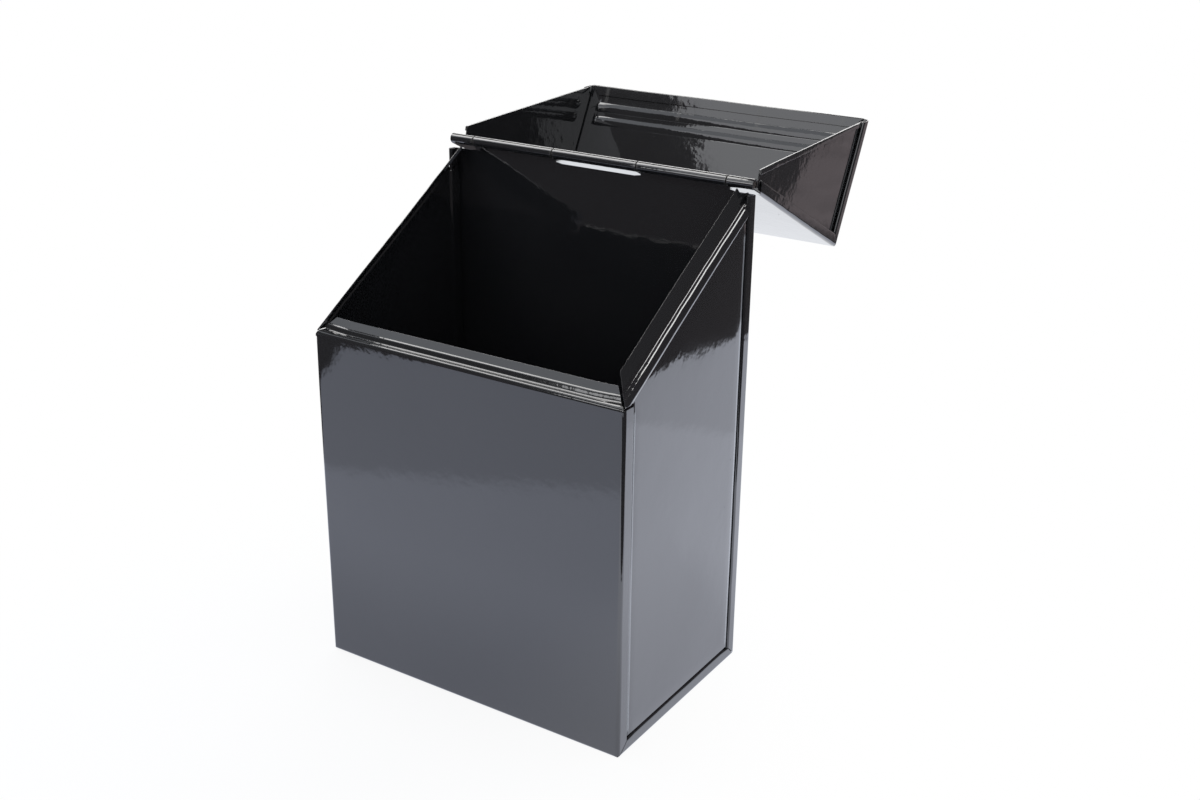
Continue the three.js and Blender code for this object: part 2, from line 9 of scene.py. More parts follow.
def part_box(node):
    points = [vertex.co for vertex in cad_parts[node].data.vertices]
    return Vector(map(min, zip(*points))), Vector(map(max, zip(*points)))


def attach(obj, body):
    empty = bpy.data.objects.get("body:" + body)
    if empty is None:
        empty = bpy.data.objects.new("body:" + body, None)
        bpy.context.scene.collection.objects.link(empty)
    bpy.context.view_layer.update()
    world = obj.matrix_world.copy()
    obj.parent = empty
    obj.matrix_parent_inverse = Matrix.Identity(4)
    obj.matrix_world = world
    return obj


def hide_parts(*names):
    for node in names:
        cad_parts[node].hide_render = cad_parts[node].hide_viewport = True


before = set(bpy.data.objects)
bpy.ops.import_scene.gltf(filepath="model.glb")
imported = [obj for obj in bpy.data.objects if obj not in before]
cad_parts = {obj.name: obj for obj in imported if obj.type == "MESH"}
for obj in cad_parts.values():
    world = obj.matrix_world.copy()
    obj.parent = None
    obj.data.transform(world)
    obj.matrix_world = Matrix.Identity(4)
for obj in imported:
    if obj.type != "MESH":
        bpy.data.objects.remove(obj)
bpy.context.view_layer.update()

# ---------------------------------------------------------------------------------------------
# Camera. It stands a little under 0.7 m away to the front right, above the mouth, and looks down
# into the open box.
# ---------------------------------------------------------------------------------------------
CAMERA_PLACE = (0.33531, -0.46907, 0.35070)
CAMERA_TURN = (68.23345, -0.63836, 33.01802)
CAMERA_LENS, SENSOR_WIDTH = 44.6966, 36.0

camera_data = bpy.data.cameras.new("camera")
camera_data.sensor_fit = "HORIZONTAL"
camera_data.sensor_width = SENSOR_WIDTH
camera_data.lens = CAMERA_LENS
camera_data.clip_start = 0.01
camera_data.clip_end = 50.0
camera = bpy.data.objects.new("camera", camera_data)
camera.location = CAMERA_PLACE
camera.rotation_euler = tuple(math.radians(angle) for angle in CAMERA_TURN)
bpy.context.scene.collection.objects.link(camera)
bpy.context.scene.camera = camera
bpy.context.scene.view_settings.view_transform = "Standard"

# ---------------------------------------------------------------------------------------------
# Studio: cool white paper on a dark table in a dim room, under soft lamps. Gloss enamel shows
# little but what it mirrors, so glossy rays see the paper's edges and fades and the table round
# it, while the camera sees plain white.
# ---------------------------------------------------------------------------------------------
FLOOR_SIZE, FLOOR_DROP = 6.0, 0.0002
# The paper lies askew. Its left side splays out towards the rear, and a slanted edge cuts its
# rear right corner.
PAPER_TURN = math.radians(-22.5)
PAPER_SIDES = (-0.185, 0.235)
PAPER_ENDS = (-0.455, 0.560)
PAPER_SPLAY, SPLAY_START = 0.33, -0.30
FAR_SIDE, FAR_SLANT = 0.436, 0.396
PAPER_SOFT_EDGE = 0.007
# It is lit less beyond two lines across it, and less again close to the box.
PAPER_FADES, FADE_EDGE = (-0.256, 0.324), 0.011
FRONT_FADE, REAR_FADE = 0.74, 0.86
BOX_HALF = (0.075, 0.048)
FOOT_SHADE, FOOT_REACH = 0.74, 0.10
PAPER_FRONT = (0.69, 0.74, 0.89, 1.0)
PAPER_RIGHT = (0.94, 0.985, 1.12, 1.0)
PAPER_REAR = (1.04, 1.07, 1.12, 1.0)
RIGHT_BLEND = (-0.02, 0.10)
REAR_BLEND, REAR_BLEND_END = (0.18, 0.24), (0.08, 0.14)
# The table is dark, with brown boards far behind and to the left.
TABLE_DARK = (0.060, 0.055, 0.058)
TABLE_BROWN = (0.30, 0.255, 0.265)
TABLE_START = (0.66, 0.78)
TABLE_SLANT, TABLE_EDGE, TABLE_SOFT_EDGE = 0.314, 0.176, 0.005
GRAIN_SCALE, GRAIN_RANGE, GRAIN_TONES = 14.0, (0.35, 0.62), (0.62, 0.85)
# What the camera sees is white, and a little less so where the box shades it.
PAPER_COLOUR = (0.90, 0.92, 0.96, 1.0)
WHITE = (1.0, 1.0, 1.0, 1.0)
SHADED_SPOT = (-0.05, -0.10, 0.0)
SHADE_REACH, SHADE_WHITENESS = (0.04, 0.24), 0.88
ROOM_COLOUR, ROOM_LIGHT = (0.93, 0.96, 1.0, 1.0), 0.60
MIRRORED_COLOUR, MIRRORED_LIGHT = (1.0, 0.95, 0.97, 1.0), 0.075


def nodes_of(owner):
    """An emptied node tree for a material or the world."""
    owner.use_nodes = True
    tree = owner.node_tree
    tree.nodes.clear()
    return tree


def add(tree, kind, inputs=None, **settings):
    """A new node. An input that is given a socket is linked to it, and any other is set."""
    node = tree.nodes.new(kind)
    for key, value in settings.items():
        setattr(node, key, value)
    for key, value in (inputs or {}).items():
        if isinstance(value, bpy.types.NodeSocket):
            tree.links.new(value, node.inputs[key])
        else:
            node.inputs[key].default_value = value
    return node


def calc(tree, operation, a, b=0.0, c=0.0):
    return add(tree, "ShaderNodeMath", {0: a, 1: b, 2: c}, operation=operation).outputs[0]


def product(tree, first, *others):
    for other in others:
        first = calc(tree, "MULTIPLY", first, other)
    return first


def ramp(tree, value, start, end, out_start, out_end):
    """A smooth change from one number to another, as a value goes from start to end."""
    node = add(tree, "ShaderNodeMapRange", {"Value": value, "From Min": start, "From Max": end,
                                            "To Min": out_start, "To Max": out_end},
               interpolation_type="SMOOTHSTEP")
    return node.outputs["Result"]


def beyond(tree, value, edge, soft):
    """1 where a value is past an edge, 0 before it."""
    return ramp(tree, value, edge - soft, edge + soft, 0.0, 1.0)


def within(tree, value, edge, soft):
    """1 where a value is short of an edge, 0 past it."""
    return ramp(tree, value, edge - soft, edge + soft, 1.0, 0.0)


def between(tree, value, edges, soft):
    return product(tree, beyond(tree, value, edges[0], soft), within(tree, value, edges[1], soft))


def blend_colours(tree, share, first, second):
    return add(tree, "ShaderNodeMix", {0: share, 6: first, 7: second},
               data_type="RGBA").outputs[2]


def scaled(tree, colour, factor):
    return add(tree, "ShaderNodeVectorMath", {0: colour, "Scale": factor},
               operation="SCALE").outputs[0]


def total(tree, first, second):
    return add(tree, "ShaderNodeVectorMath", {0: first, 1: second}, operation="ADD").outputs[0]


floor_mesh = bpy.data.meshes.new("floor")
bm = bmesh.new()
bmesh.ops.create_grid(bm, x_segments=8, y_segments=8, size=FLOOR_SIZE)
bm.to_mesh(floor_mesh)
bm.free()
floor = bpy.data.objects.new("floor", floor_mesh)
floor.location.z = -FLOOR_DROP
bpy.context.scene.collection.objects.link(floor)

paper = bpy.data.materials.new("paper")
tree = nodes_of(paper)
spot = add(tree, "ShaderNodeTexCoord").outputs["Object"]
x, y = add(tree, "ShaderNodeSeparateXYZ", {0: spot}).outputs[:2]
turned = add(tree, "ShaderNodeMapping", {"Vector": spot, "Rotation": (0, 0, -PAPER_TURN)})
across, along = add(tree, "ShaderNodeSeparateXYZ", {0: turned.outputs[0]}).outputs[:2]

splay = calc(tree, "MAXIMUM", calc(tree, "SUBTRACT", along, SPLAY_START), 0.0)
splayed = calc(tree, "MULTIPLY_ADD", splay, PAPER_SPLAY, across)
slanted = calc(tree, "MULTIPLY_ADD", y, FAR_SLANT, x)
on_paper = product(tree, beyond(tree, splayed, PAPER_SIDES[0], PAPER_SOFT_EDGE),
                   within(tree, across, PAPER_SIDES[1], PAPER_SOFT_EDGE),
                   between(tree, along, PAPER_ENDS, PAPER_SOFT_EDGE),
                   within(tree, slanted, FAR_SIDE, PAPER_SOFT_EDGE))
off_box = [calc(tree, "SUBTRACT", calc(tree, "ABSOLUTE", place), half)
           for place, half in zip((x, y), BOX_HALF)]
lit = product(
    tree,
    ramp(tree, along, PAPER_FADES[0] - FADE_EDGE, PAPER_FADES[0] + FADE_EDGE, FRONT_FADE, 1.0),
    ramp(tree, along, PAPER_FADES[1] - FADE_EDGE, PAPER_FADES[1] + FADE_EDGE, 1.0, REAR_FADE),
    ramp(tree, calc(tree, "MAXIMUM", *off_box), 0.0, FOOT_REACH, FOOT_SHADE, 1.0))
behind = product(tree, ramp(tree, y, *REAR_BLEND, 0.0, 1.0),
                 ramp(tree, x, *REAR_BLEND_END, 1.0, 0.0))
tint = blend_colours(tree, ramp(tree, x, *RIGHT_BLEND, 0.0, 1.0), PAPER_FRONT, PAPER_RIGHT)
tint = blend_colours(tree, behind, tint, PAPER_REAR)
sheet_seen = scaled(tree, tint, product(tree, on_paper, lit))

grain = add(tree, "ShaderNodeTexNoise", {"Vector": spot, "Scale": GRAIN_SCALE, "Detail": 3.0})
table_side = calc(tree, "MULTIPLY_ADD", y, -TABLE_SLANT, x)
boards = product(tree, ramp(tree, grain.outputs[0], *GRAIN_RANGE, *GRAIN_TONES),
                 within(tree, table_side, TABLE_EDGE, TABLE_SOFT_EDGE),
                 ramp(tree, y, *TABLE_START, 0.0, 1.0))
table_seen = total(tree, scaled(tree, TABLE_BROWN, boards), TABLE_DARK)

path = add(tree, "ShaderNodeLightPath").outputs
mirrored = calc(tree, "MAXIMUM", path["Is Glossy Ray"], path["Is Transmission Ray"])
seen = blend_colours(tree, mirrored, WHITE, total(tree, sheet_seen, table_seen))
reach = add(tree, "ShaderNodeVectorMath", {0: spot, 1: SHADED_SPOT},
            operation="DISTANCE").outputs["Value"]
whiteness = ramp(tree, reach, *SHADE_REACH, SHADE_WHITENESS, 1.0)
shown = product(tree, calc(tree, "MAXIMUM", mirrored, whiteness),
                calc(tree, "MAXIMUM", path["Is Camera Ray"], mirrored))
diffuse = add(tree, "ShaderNodeBsdfDiffuse", {"Color": PAPER_COLOUR})
glow = add(tree, "ShaderNodeEmission", {"Color": seen, "Strength": 1.0})
mix = add(tree, "ShaderNodeMixShader", {0: shown, 1: diffuse.outputs[0], 2: glow.outputs[0]})
add(tree, "ShaderNodeOutputMaterial", {"Surface": mix.outputs[0]})
floor_mesh.materials.append(paper)

world = bpy.data.worlds.new("room")
bpy.context.scene.world = world
tree = nodes_of(world)
path = add(tree, "ShaderNodeLightPath").outputs
shown = calc(tree, "MAXIMUM", path["Is Camera Ray"], path["Is Transmission Ray"])
room, dim, white = (
    add(tree, "ShaderNodeBackground", {"Color": colour, "Strength": light}).outputs[0]
    for colour, light in ((ROOM_COLOUR, ROOM_LIGHT), (MIRRORED_COLOUR, MIRRORED_LIGHT),
                          (WHITE, 1.0)))
unseen = add(tree, "ShaderNodeMixShader", {0: path["Is Glossy Ray"], 1: room, 2: dim})
mix = add(tree, "ShaderNodeMixShader", {0: shown, 1: unseen.outputs[0], 2: white})
add(tree, "ShaderNodeOutputWorld", {"Surface": mix.outputs[0]})


def soft_lamp(name, centre, aim, width, height, radiance, colour):
    """A soft lamp of a given radiance, turned to face a point; it is never seen itself."""
    data = bpy.data.lights.new(name, "AREA")
    data.shape = "RECTANGLE"
    data.size, data.size_y = width, height
    data.energy = radiance * math.pi * width * height
    data.color = colour
    lamp = bpy.data.objects.new(name, data)
    lamp.location = centre
    lamp.rotation_euler = (Vector(aim) - Vector(centre)).to_track_quat("-Z", "Y").to_euler()
    lamp.visible_camera = False
    bpy.context.scene.collection.objects.link(lamp)


WARM = (1.0, 0.99, 0.98)
LID_SPOT = (0.0, 0.15, 0.21)
# Each lamp's centre, the point it faces, its width and height, its radiance and its colour.
LAMPS = {
    "main_lamp": ((-0.53, -0.025, 1.0), (-0.53, -0.025, 0.0), 0.42, 0.55, 3.8, WARM),
    "side_lamp": ((0.22, 0.06, 1.05), (0.22, 0.06, 0.0), 0.24, 0.20, 6.2, WARM),
    "back_lamp": ((-0.42, 1.15, 0.66), (-0.05, 0.10, 0.21), 1.30, 0.34, 2.5, WARM),
    "edge_lamp": ((-0.66, 1.12, 1.00), LID_SPOT, 0.62, 0.07, 6.0, WARM),
    "window_lamp": ((-1.10, -3.0, 0.90), LID_SPOT, 1.20, 1.20, 2.0, (0.97, 0.98, 1.0)),
    "front_lamp": ((0.06, -0.94, 1.0), (0.06, -0.94, 0.0), 1.48, 0.56, 1.05, (0.94, 0.96, 1.0)),
    "lip_lamp": ((-0.22, -0.49, 1.0), (-0.22, -0.49, 0.0), 1.66, 0.34, 0.66, (0.88, 0.93, 1.0)),
}
for lamp_name, lamp_settings in LAMPS.items():
    soft_lamp(lamp_name, *lamp_settings)

# ---------------------------------------------------------------------------------------------
# Box wrapper: one sheet of 0.5 mm steel bent into front, base and back, with folded edges that
# grip the side panels and rolled knuckles along the back. It is stove-enamelled gloss black, and
# like all thin sheet it isn't quite flat.
# ---------------------------------------------------------------------------------------------
# Enamel.
PEEL_SCALE, RIPPLE_SCALE, RIPPLE_SHARE = 430.0, 120.0, 2.2
BUMP_HEIGHT = 0.000018
CLOUD_SCALE, CLOUD_RANGE = 35.0, (0.35, 0.70)
SMEAR_ROUGHNESS = (0.045, 0.085)
ENAMEL_TONES = ((0.0100, 0.0104, 0.0118, 1.0), (0.0135, 0.0138, 0.0150, 1.0))
KNUCKLE_JOINTS = (0.021, 0.063)
RUBBED_WIDTH, RUBBED_SOFT = 0.0009, 0.0006
RUBBED_HEIGHT, RUBBED_HEIGHT_SOFT = 0.2105, 0.0004
RUBBED_TONE, RUBBED_ROUGHNESS = (0.030, 0.029, 0.028, 1.0), 0.16
# A pale band painted along each crease is a painted highlight for the rounded fold edges.
CREASE_PROUD, CREASE_SLOPE = 0.07402, 0.6026
CREASE_FOOT, CREASE_TOP = 0.0085, 0.1695
CREASE_SOFT, CREASE_PROUD_SOFT, CREASE_END_SOFT = 0.00015, 0.00005, 0.001
CREASE_PAINTED_HIGHLIGHT = (0.27, 0.28, 0.30, 1.0)
# Nibs, with the least and the most that a dome is stretched across and upwards.
NIBS_PER_AREA, NIB_RADIUS = 260.0, 0.00028
NIB_LEAST_STRETCH, NIB_MOST_STRETCH = (0.5, 0.5, 0.12), (1.25, 1.1, 0.3)
# Sheet.
EDGE_ROUND, EDGE_SEGMENTS = 0.00011, 2
EDGE_ANGLE = math.radians(40)
FLAT_ANGLE = math.radians(0.3)
WELD = 2e-6
SLICE = 0.006
SLOW_WAVE, SLOW_DEPTH = 24.0, 0.00016
QUICK_WAVE, QUICK_DEPTH, QUICK_SEED = 62.0, 0.00003, 40.0


def enamel_material(name, creases=()):
    """Gloss black stove enamel: nearly black, with orange peel, slow ripples, faint smears and a
    dull ring where the knuckles rub. Along the given creases a pale band is painted into the
    colour: a painted highlight standing in for the light caught on the rounded fold edges."""
    material = bpy.data.materials.new(name)
    tree = nodes_of(material)
    spot = add(tree, "ShaderNodeTexCoord").outputs["Object"]
    x, y, z = add(tree, "ShaderNodeSeparateXYZ", {0: spot}).outputs[:3]
    off_centre = calc(tree, "ABSOLUTE", x)

    peel = add(tree, "ShaderNodeTexNoise", {"Vector": spot, "Scale": PEEL_SCALE, "Detail": 1.5,
                                            "Roughness": 0.45})
    ripple = add(tree, "ShaderNodeTexNoise", {"Vector": spot, "Scale": RIPPLE_SCALE,
                                              "Detail": 1.0})
    height = calc(tree, "MULTIPLY_ADD", ripple.outputs[0], RIPPLE_SHARE, peel.outputs[0])
    bump = add(tree, "ShaderNodeBump", {"Strength": 1.0, "Distance": BUMP_HEIGHT,
                                        "Height": height})

    cloud = add(tree, "ShaderNodeTexNoise", {"Vector": spot, "Scale": CLOUD_SCALE, "Detail": 4.0})
    smear = ramp(tree, cloud.outputs[0], *CLOUD_RANGE, *SMEAR_ROUGHNESS)
    near = [within(tree, calc(tree, "ABSOLUTE", calc(tree, "SUBTRACT", off_centre, joint)),
                   RUBBED_WIDTH, RUBBED_SOFT) for joint in KNUCKLE_JOINTS]
    rubbed = product(tree, calc(tree, "MAXIMUM", *near),
                     beyond(tree, z, RUBBED_HEIGHT, RUBBED_HEIGHT_SOFT))
    rough = calc(tree, "MULTIPLY_ADD", rubbed, RUBBED_ROUGHNESS, smear)
    colour = blend_colours(tree, cloud.outputs[0], *ENAMEL_TONES)
    colour = blend_colours(tree, rubbed, colour, RUBBED_TONE)

    # Painted highlight: each crease gets a pale band in the colour, in place of the light on its
    # rounded fold.
    below_rim = calc(tree, "MULTIPLY_ADD", y, -CREASE_SLOPE, z)
    for crease in creases:
        painted_highlight = product(tree, between(tree, y, crease, CREASE_SOFT),
                       beyond(tree, off_centre, CREASE_PROUD, CREASE_PROUD_SOFT),
                       beyond(tree, z, CREASE_FOOT, CREASE_END_SOFT),
                       within(tree, below_rim, CREASE_TOP, CREASE_END_SOFT))
        colour = blend_colours(tree, painted_highlight, colour, CREASE_PAINTED_HIGHLIGHT)

    shader = add(tree, "ShaderNodeBsdfPrincipled", {
        "Base Color": colour, "Roughness": rough, "IOR": 1.6, "Coat Weight": 1.0,
        "Coat IOR": 1.7, "Coat Roughness": 0.035, "Normal": bump.outputs[0],
        "Coat Normal": bump.outputs[0]})
    add(tree, "ShaderNodeOutputMaterial", {"Surface": shader.outputs[0]})
    return material


def new_group(name, **inputs):
    """A Geometry Nodes tree with named inputs, each given as its kind, and their sockets."""
    tree = bpy.data.node_groups.new(name, "GeometryNodeTree")
    for label, kind in inputs.items():
        tree.interface.new_socket(label.replace("_", " "), in_out="INPUT",
                                  socket_type="NodeSocket" + kind)
    tree.interface.new_socket("Result", in_out="OUTPUT", socket_type="NodeSocketGeometry")
    return tree, add(tree, "NodeGroupInput").outputs


def end_group(tree, geometry, material):
    real = add(tree, "GeometryNodeRealizeInstances", {0: geometry})
    painted = add(tree, "GeometryNodeSetMaterial", {"Geometry": real.outputs[0],
                                                    "Material": material})
    add(tree, "NodeGroupOutput", {0: painted.outputs[0]})


def run_group(piece, name, tree, **values):
    """Adds a Geometry Nodes modifier to a piece and sets its named inputs."""
    modifier = piece.modifiers.new(name, "NODES")
    modifier.node_group = tree
    sockets = {s.name: s.identifier for s in tree.interface.items_tree
               if s.item_type == "SOCKET" and s.in_out == "INPUT"}
    for label, value in values.items():
        modifier[sockets[label.replace("_", " ")]] = value


def nib_tree(material):
    """Nibs: specks of dust baked into the enamel, each a low dome no wider than a pinhead."""
    tree, given = new_group("enamel_nibs", Sheet="Geometry", Nibs_Per_Area="Float",
                            Nib_Radius="Float", Seed="Int")
    points = add(tree, "GeometryNodeDistributePointsOnFaces", {
        "Mesh": given["Sheet"], "Density": given["Nibs Per Area"], "Seed": given["Seed"]})
    dome = add(tree, "GeometryNodeMeshIcoSphere", {"Radius": given["Nib Radius"],
                                                   "Subdivisions": 2})
    stretch = add(tree, "FunctionNodeRandomValue", {
        "Min": NIB_LEAST_STRETCH, "Max": NIB_MOST_STRETCH, "Seed": given["Seed"]},
        data_type="FLOAT_VECTOR")
    placed = add(tree, "GeometryNodeInstanceOnPoints", {
        "Points": points.outputs["Points"], "Instance": dome.outputs["Mesh"],
        "Rotation": points.outputs["Rotation"], "Scale": stretch.outputs[0]})
    joined = add(tree, "GeometryNodeJoinGeometry", {0: placed.outputs[0]})
    tree.links.new(given["Sheet"], joined.inputs[0])
    end_group(tree, joined.outputs[0], material)
    return tree


def round_edges(piece, name, width, segments):
    bevel = piece.modifiers.new(name, "BEVEL")
    bevel.width = width
    bevel.segments = segments
    bevel.limit_method = "ANGLE"
    bevel.angle_limit = EDGE_ANGLE
    return bevel


def even_shading(piece):
    piece.modifiers.new("even_shading", "WEIGHTED_NORMAL").mode = "FACE_AREA"


def settled(piece):
    """Turns a piece and its modifiers into a plain mesh."""
    graph = bpy.context.evaluated_depsgraph_get()
    result = bpy.data.meshes.new_from_object(piece.evaluated_get(graph), depsgraph=graph)
    result.name = piece.name
    piece.modifiers.clear()
    piece.data = result
    return result


def merged_copy(node):
    """A copy of a CAD node with its doubled corners welded and its flat faces whole."""
    bm = bmesh.new()
    bm.from_mesh(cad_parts[node].data)
    bmesh.ops.remove_doubles(bm, verts=bm.verts, dist=WELD)
    bmesh.ops.dissolve_degenerate(bm, dist=WELD / 2, edges=bm.edges)
    bmesh.ops.dissolve_limit(bm, angle_limit=FLAT_ANGLE, verts=bm.verts, edges=bm.edges)
    return bm


def slice_up(bm):
    """Cuts the flat sheet into a grid, so that it can be bent."""
    low = [min(v.co[axis] for v in bm.verts) for axis in range(3)]
    high = [max(v.co[axis] for v in bm.verts) for axis in range(3)]
    for axis in range(3):
        normal = Vector([float(i == axis) for i in range(3)])
        for i in range(math.ceil(low[axis] / SLICE), math.floor(high[axis] / SLICE) + 1):
            geometry = bm.verts[:] + bm.edges[:] + bm.faces[:]
            bmesh.ops.bisect_plane(bm, geom=geometry, dist=WELD, plane_co=normal * i * SLICE,
                                   plane_no=normal)


def finished_sheet(node, name, material, wander, seed):
    """A CAD node as real sheet metal: its cut edges are rounded by the enamel, it wanders a
    little from flat, and it carries a few nibs."""
    bm = merged_copy(node)
    true_shape = BVHTree.FromBMesh(bm)
    mesh = bpy.data.meshes.new(name)
    bm.to_mesh(mesh)
    bm.free()
    piece = bpy.data.objects.new(name, mesh)
    bpy.context.scene.collection.objects.link(piece)
    round_edges(piece, "rounded_edges", EDGE_ROUND, EDGE_SEGMENTS).use_clamp_overlap = False
    mesh = settled(piece)

    bm = bmesh.new()
    bm.from_mesh(mesh)
    # Where edges crowd together their rounding overshoots, so it is laid back on the sheet.
    for vertex in bm.verts:
        place, _, _, gap = true_shape.find_nearest(vertex.co)
        if gap > EDGE_ROUND / 2:
            vertex.co = place
    bmesh.ops.remove_doubles(bm, verts=bm.verts, dist=WELD)
    bmesh.ops.dissolve_degenerate(bm, dist=WELD, edges=bm.edges)
    slice_up(bm)
    bmesh.ops.triangulate(bm, faces=bm.faces)
    for vertex in bm.verts:
        vertex.co += wander(vertex.co)
    bm.to_mesh(mesh)
    bm.free()
    for key in ("custom_normal", "sharp_face", "sharp_edge"):
        if key in mesh.attributes:
            mesh.attributes.remove(mesh.attributes[key])
    mesh.materials.clear()
    mesh.materials.append(material)
    mesh.shade_smooth()
    run_group(piece, "nibs", nib_tree(material), Nibs_Per_Area=NIBS_PER_AREA,
              Nib_Radius=NIB_RADIUS, Seed=seed)
    even_shading(piece)
    settled(piece)
    return piece


def rise(value, start, end):
    """0 up to a start, 1 from an end on, and smooth between them."""
    t = min(max((value - start) / (end - start), 0.0), 1.0)
    return t * t * (3.0 - 2.0 * t)


def fall(value, start, end):
    """1 up to a start, 0 from an end on, and smooth between them."""
    return 1.0 - rise(value, start, end)


def wave(a, b, seed):
    """How far the sheet wanders from flat at a point of its surface."""
    slow = noise.noise(Vector((a * SLOW_WAVE, b * SLOW_WAVE, seed)))
    quick = noise.noise(Vector((a * QUICK_WAVE, b * QUICK_WAVE, seed + QUICK_SEED)))
    return SLOW_DEPTH * slow + QUICK_DEPTH * quick


# Where the sheets wander: not by the base or the hinge, and in the walls only.
FOOT_CALM, HINGE_CALM = (0.001, 0.016), (0.186, 0.203)
SIDE_BAND, FRONT_BAND, BACK_BAND = (0.058, 0.0705), (-0.046, -0.034), (0.036, 0.046)
SIDE_SEED, FRONT_SEED, BACK_SEED = 3.0, 11.0, 17.0
# The pulled-in corner.
PINCH_DEPTH = 0.0003
PINCH_HEIGHT, PINCH_WIDTH = (0.122, 0.154), (-0.0770, -0.0660)
# The leaning band under the sloping rims, measured square to the plane of the mouth.
MOUTH_START = Vector((0.0, -0.0482, 0.1494))
OFF_MOUTH = Vector((0.0, -0.5161, 0.8565))
RIM_DEPTH = 0.0030
LEAN_SHALLOW, LEAN_DEEP = 0.0012, 0.0080
LEAN_RUN, LEAN_END, LEAN_SLOPE = (-0.045, 0.040), 0.3, 0.055
# The sagging lip.
LIP_DROP = 0.0006
LIP_HEIGHT, LIP_BAND, LIP_ENDS = (0.1490, 0.1505), (-0.0478, -0.0462), (0.062, 0.070)


def box_wander(spot):
    """The box's sheets swell and dip as they were bent; the hinge and the base stay true."""
    x, y, z = spot
    outward = math.copysign(1.0, x)
    side = outward * rise(abs(x), *SIDE_BAND)
    front, back = fall(y, *FRONT_BAND), rise(y, *BACK_BAND)
    under_hinge = fall(z, *HINGE_CALM)
    calm = rise(z, *FOOT_CALM) * under_hinge
    # The front's top left corner was pulled in when the rim was folded.
    pinch = PINCH_DEPTH * front * rise(z, *PINCH_HEIGHT) * fall(x, *PINCH_WIDTH)
    # Each side leans in under its rim, more towards the back.
    band = LEAN_SHALLOW + (LEAN_DEEP - LEAN_SHALLOW) * rise(y, *LEAN_RUN)
    height = (spot - MOUTH_START).dot(OFF_MOUTH) + RIM_DEPTH
    lean = side * LEAN_SLOPE * band * rise(height, -band, LEAN_END * band) * under_hinge
    # The front rim's lip sags between its corners.
    lip = LIP_DROP * front * rise(z, *LIP_HEIGHT) * rise(y, *LIP_BAND) * fall(abs(x), *LIP_ENDS)
    return Vector((
        calm * side * wave(y, z, SIDE_SEED + outward) - lean,
        calm * (front * wave(x, z, FRONT_SEED) + back * wave(x, z, BACK_SEED)) + pinch,
        -lip,
    ))


GAP_WAVE, REAR_GAP_DEPTH, BASE_GAP_DEPTH = 55.0, 0.00035, 0.000175
STRIP_EDGE = (0.0732, 0.0738)
# The strip folded over the panel's rear edge.
REAR_START, REAR_STRIP, REAR_FOOT = (0.036, 0.0395), (0.0405, 0.0470), (0.008, 0.020)
REAR_SEED = 5.0
PINCHED_GAP, PINCHED_REACH, PINCHED_SHIFT = 0.0385, (0.0005, 0.004), 0.0006
OPEN_GAP, OPEN_SHIFT = (0.075, 0.12), 0.00028
# The strip folded over the panel's lower edge.
BASE_RISE, BASE_FOOT, BASE_STRIP = (0.0010, 0.0062), (0.0010, 0.0030), (0.0062, 0.0080)
BASE_FRONT, BASE_REAR = (-0.041, -0.036), (0.038, 0.0415)
BASE_SHIFT, BASE_SEED = 0.00052, 9.0
# The notches in the back under the lid's knuckles.
SLOT_DROP = 0.0006
SLOT_HEIGHT, SLOT_BAND = (0.2075, 0.2088), (0.046, 0.0472)
MIDDLE_SLOT, OUTER_SLOTS = (0.0205, 0.0212), (0.0628, 0.0634)


def wrapper_wander(spot):
    """The folded edges were dressed by hand, so the line of each wanders beside its panel."""
    x, y, z = spot
    strip = rise(abs(x), *STRIP_EDGE)
    # The rear strip stands off a little low down, and is pinched to the panel at one place.
    rear = (strip * rise(y, *REAR_START) * fall(y, *REAR_STRIP)
            * rise(z, *REAR_FOOT) * fall(z, *HINGE_CALM))
    rear_shift = (OPEN_SHIFT * fall(z, *OPEN_GAP)
                  - PINCHED_SHIFT * fall(abs(z - PINCHED_GAP), *PINCHED_REACH)
                  - REAR_GAP_DEPTH * noise.noise(Vector((z * GAP_WAVE, x, REAR_SEED))))
    # The base's strip stands a little high.
    base = (strip * rise(z, *BASE_RISE) * rise(z, *BASE_FOOT) * fall(z, *BASE_STRIP)
            * rise(y, *BASE_FRONT) * fall(y, *BASE_REAR))
    base_shift = BASE_SHIFT + BASE_GAP_DEPTH * noise.noise(Vector((y * GAP_WAVE, x, BASE_SEED)))
    # The back's notches are a little deeper than the lid's knuckles need.
    slot = (rise(z, *SLOT_HEIGHT) * rise(y, *SLOT_BAND)
            * max(fall(abs(x), *MIDDLE_SLOT), rise(abs(x), *OUTER_SLOTS)))
    return box_wander(spot) + Vector((0.0, rear * rear_shift,
                                      base * base_shift - SLOT_DROP * slot))


enamel = enamel_material("black_enamel_gloss")
wrapper = finished_sheet("box_wrapper", "box_wrapper_enamelled", enamel, wrapper_wander, seed=3)
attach(wrapper, "box")
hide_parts("box_wrapper")

# ---------------------------------------------------------------------------------------------
# Side panels: two flat sheets, hooked into the wrapper's folded edges and pressed out between
# them, each with the swaged rim along its sloping top. Same enamel, sprayed after assembly.
# ---------------------------------------------------------------------------------------------
# The side panels' enamel has a painted highlight along these creases, at the folded edges' inner
# lines.
PANEL_CREASES = ((-0.0408, -0.0397), (0.0398, 0.0409))

crease_highlit_enamel = enamel_material("black_enamel_crease_highlight", PANEL_CREASES)
for seed, side in enumerate(("left", "right"), start=11):
    panel = finished_sheet("side_panel_" + side, "side_panel_%s_enamelled" % side,
                           crease_highlit_enamel, box_wander, seed=seed)
    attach(panel, "box")
    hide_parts("side_panel_" + side)

